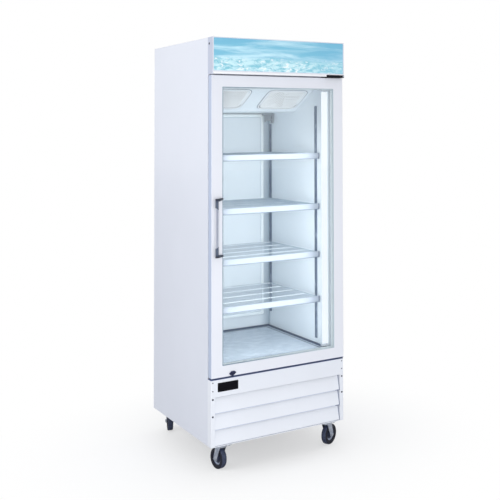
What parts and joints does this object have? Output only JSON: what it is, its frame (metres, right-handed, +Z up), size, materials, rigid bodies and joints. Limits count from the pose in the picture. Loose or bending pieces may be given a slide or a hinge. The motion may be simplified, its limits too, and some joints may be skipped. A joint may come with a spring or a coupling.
{
  "type": "glass door merchandiser",
  "caption": "Tall refrigerated display cabinet with one glass door, wire shelves, a lighted sign box, a louvred lower front and swivel casters.",
  "frame": {"origin": "on the floor, below the centre of the object's outline seen from above", "axes": "+Z up, +X to the right seen from the front, +Y from the door to the back"},
  "size_m": [0.703, 0.862, 2.03],
  "materials": {
    "white_enamel": "white enamelled steel sheet, semi-gloss",
    "white_powder_coat": "white powder-coated aluminium, satin",
    "liner_coat": "pale coated liner sheet, semi-gloss",
    "galvanised": "galvanised steel, spangled, matt",
    "pan_metal": "grey-blue coated sheet, satin",
    "foam": "cream polyurethane foam",
    "white_plastic": "white moulded plastic, satin",
    "black_plastic": "black moulded plastic, satin",
    "glass": "clear low-iron tempered glass",
    "spacer_bar": "pale anodised spacer bar",
    "gasket_rubber": "grey soft magnetic gasket",
    "anodised": "satin anodised aluminium",
    "dark_steel": "dark grey coated steel",
    "white_wire": "white epoxy-coated wire",
    "led_diffuser": "lit white diffuser",
    "sign_print": null,
    "black_enamel": "black enamel, semi-gloss",
    "zinc": "bright zinc plate",
    "nylon": "natural nylon",
    "lock_metal": "dark nickel plate",
    "screw_metal": "dark plated steel",
    "copper_fins": "aluminium fins on copper tubes",
    "rim_grey": "grey moulded rim",
    "tyre_rubber": "black solid rubber"
  },
  "bodies": {
    "cabinet": {"outer_wrapper": "white_enamel", "back_panel": "galvanised", "face_frame": "white_enamel", "foam_body": "foam", "liner": "liner_coat", "floor_pan": "pan_metal", "duct_panel": "liner_coat", "evaporator_cover": "liner_coat", "fan_guards": "white_plastic", "evaporator_coil": "copper_fins", "fan_motors": "black_enamel", "shelf_standards": "dark_steel", "shelf_clips": "dark_steel", "price_rails": "white_plastic", "wire_shelf_1": "white_wire", "wire_shelf_2": "white_wire", "wire_shelf_3": "white_wire", "wire_shelf_4": "white_wire", "led_lamps": "led_diffuser", "sensor_clip": "white_plastic", "sign_housing": "white_enamel", "sign_panel": "sign_print", "cover_screws": "screw_metal", "hinge_plates": "black_enamel", "hinge_pins": "zinc", "front_panel": "white_enamel", "louvre_slats": "white_enamel", "badge_plate": "black_enamel", "base_pan": "galvanised", "compressor": "black_enamel", "condenser_coil": "copper_fins", "condenser_shroud": "galvanised", "rear_grille": "galvanised", "power_cord": "black_plastic", "caster_plates": "zinc"},
    "door": {"door_frame": "white_powder_coat", "glass_panes": "glass", "glass_spacer": "spacer_bar", "door_gasket": "gasket_rubber", "hinge_bushes": "nylon", "handle_grip": "anodised", "handle_brackets": "black_plastic", "lock_housing": "lock_metal"},
    "lock_cylinder": {"lock_cylinder": "lock_metal"},
    "lock_bolt": {"lock_bolt": "zinc"},
    "evaporator_fan_left": {"evaporator_fan_left": "black_plastic"},
    "evaporator_fan_right": {"evaporator_fan_right": "black_plastic"},
    "condenser_fan": {"condenser_fan": "black_plastic"},
    "swivel_front_left": {"fork_front_left": "zinc"},
    "wheel_front_left": {"rim_front_left": "rim_grey", "tyre_front_left": "tyre_rubber"},
    "swivel_front_right": {"fork_front_right": "zinc"},
    "wheel_front_right": {"rim_front_right": "rim_grey", "tyre_front_right": "tyre_rubber"},
    "swivel_back_left": {"fork_back_left": "zinc"},
    "wheel_back_left": {"rim_back_left": "rim_grey", "tyre_back_left": "tyre_rubber"},
    "swivel_back_right": {"fork_back_right": "zinc"},
    "wheel_back_right": {"rim_back_right": "rim_grey", "tyre_back_right": "tyre_rubber"}
  },
  "joints": [
    {"name": "door_hinge", "type": "hinge", "parent": "cabinet", "child": "door", "pos_m": [0.335, -0.369, 1.145], "axis": [0, 0, 1], "range_deg": [0, 110]},
    {"name": "lock_turn", "type": "hinge", "parent": "door", "child": "lock_cylinder", "pos_m": [-0.247, -0.389, 0.455], "axis": [0, 1, 0], "range_deg": [0, 90]},
    {"name": "bolt_slide", "type": "slide", "parent": "door", "child": "lock_bolt", "axis": [0, 0, -1], "range_m": [0, 0.0125]},
    {"name": "evaporator_fan_left_spin", "type": "hinge", "parent": "cabinet", "child": "evaporator_fan_left", "pos_m": [-0.157, -0.07477, 1.75142], "axis": [0, -0.4589, -0.8885], "continuous": true},
    {"name": "evaporator_fan_right_spin", "type": "hinge", "parent": "cabinet", "child": "evaporator_fan_right", "pos_m": [0.157, -0.07477, 1.75142], "axis": [0, -0.4589, -0.8885], "continuous": true},
    {"name": "condenser_fan_spin", "type": "hinge", "parent": "cabinet", "child": "condenser_fan", "pos_m": [-0.06, -0.229, 0.275], "axis": [0, 1, 0], "continuous": true},
    {"name": "swivel_front_left", "type": "hinge", "parent": "cabinet", "child": "swivel_front_left", "pos_m": [-0.278, -0.334, 0.112], "axis": [0, 0, 1], "continuous": true},
    {"name": "roll_front_left", "type": "hinge", "parent": "swivel_front_left", "child": "wheel_front_left", "pos_m": [-0.28299, -0.31052, 0.05], "axis": [-0.9781, -0.2079, 0], "continuous": true},
    {"name": "swivel_front_right", "type": "hinge", "parent": "cabinet", "child": "swivel_front_right", "pos_m": [0.278, -0.334, 0.112], "axis": [0, 0, 1], "continuous": true},
    {"name": "roll_front_right", "type": "hinge", "parent": "swivel_front_right", "child": "wheel_front_right", "pos_m": [0.29935, -0.32303, 0.05], "axis": [-0.4571, 0.8894, 0], "continuous": true},
    {"name": "swivel_back_left", "type": "hinge", "parent": "cabinet", "child": "swivel_back_left", "pos_m": [-0.278, 0.356, 0.112], "axis": [0, 0, 1], "continuous": true},
    {"name": "roll_back_left", "type": "hinge", "parent": "swivel_back_left", "child": "wheel_back_left", "pos_m": [-0.27159, 0.37913, 0.05], "axis": [-0.9636, 0.2672, 0], "continuous": true},
    {"name": "swivel_back_right", "type": "hinge", "parent": "cabinet", "child": "swivel_back_right", "pos_m": [0.278, 0.356, 0.112], "axis": [0, 0, 1], "continuous": true},
    {"name": "roll_back_right", "type": "hinge", "parent": "swivel_back_right", "child": "wheel_back_right", "pos_m": [0.26979, 0.37855, 0.05], "axis": [-0.9397, -0.342, 0], "continuous": true}
  ],
  "couplings": [
    {"joint": "bolt_slide", "follows": "lock_turn", "m_per_rad": 0.00764}
  ]
}
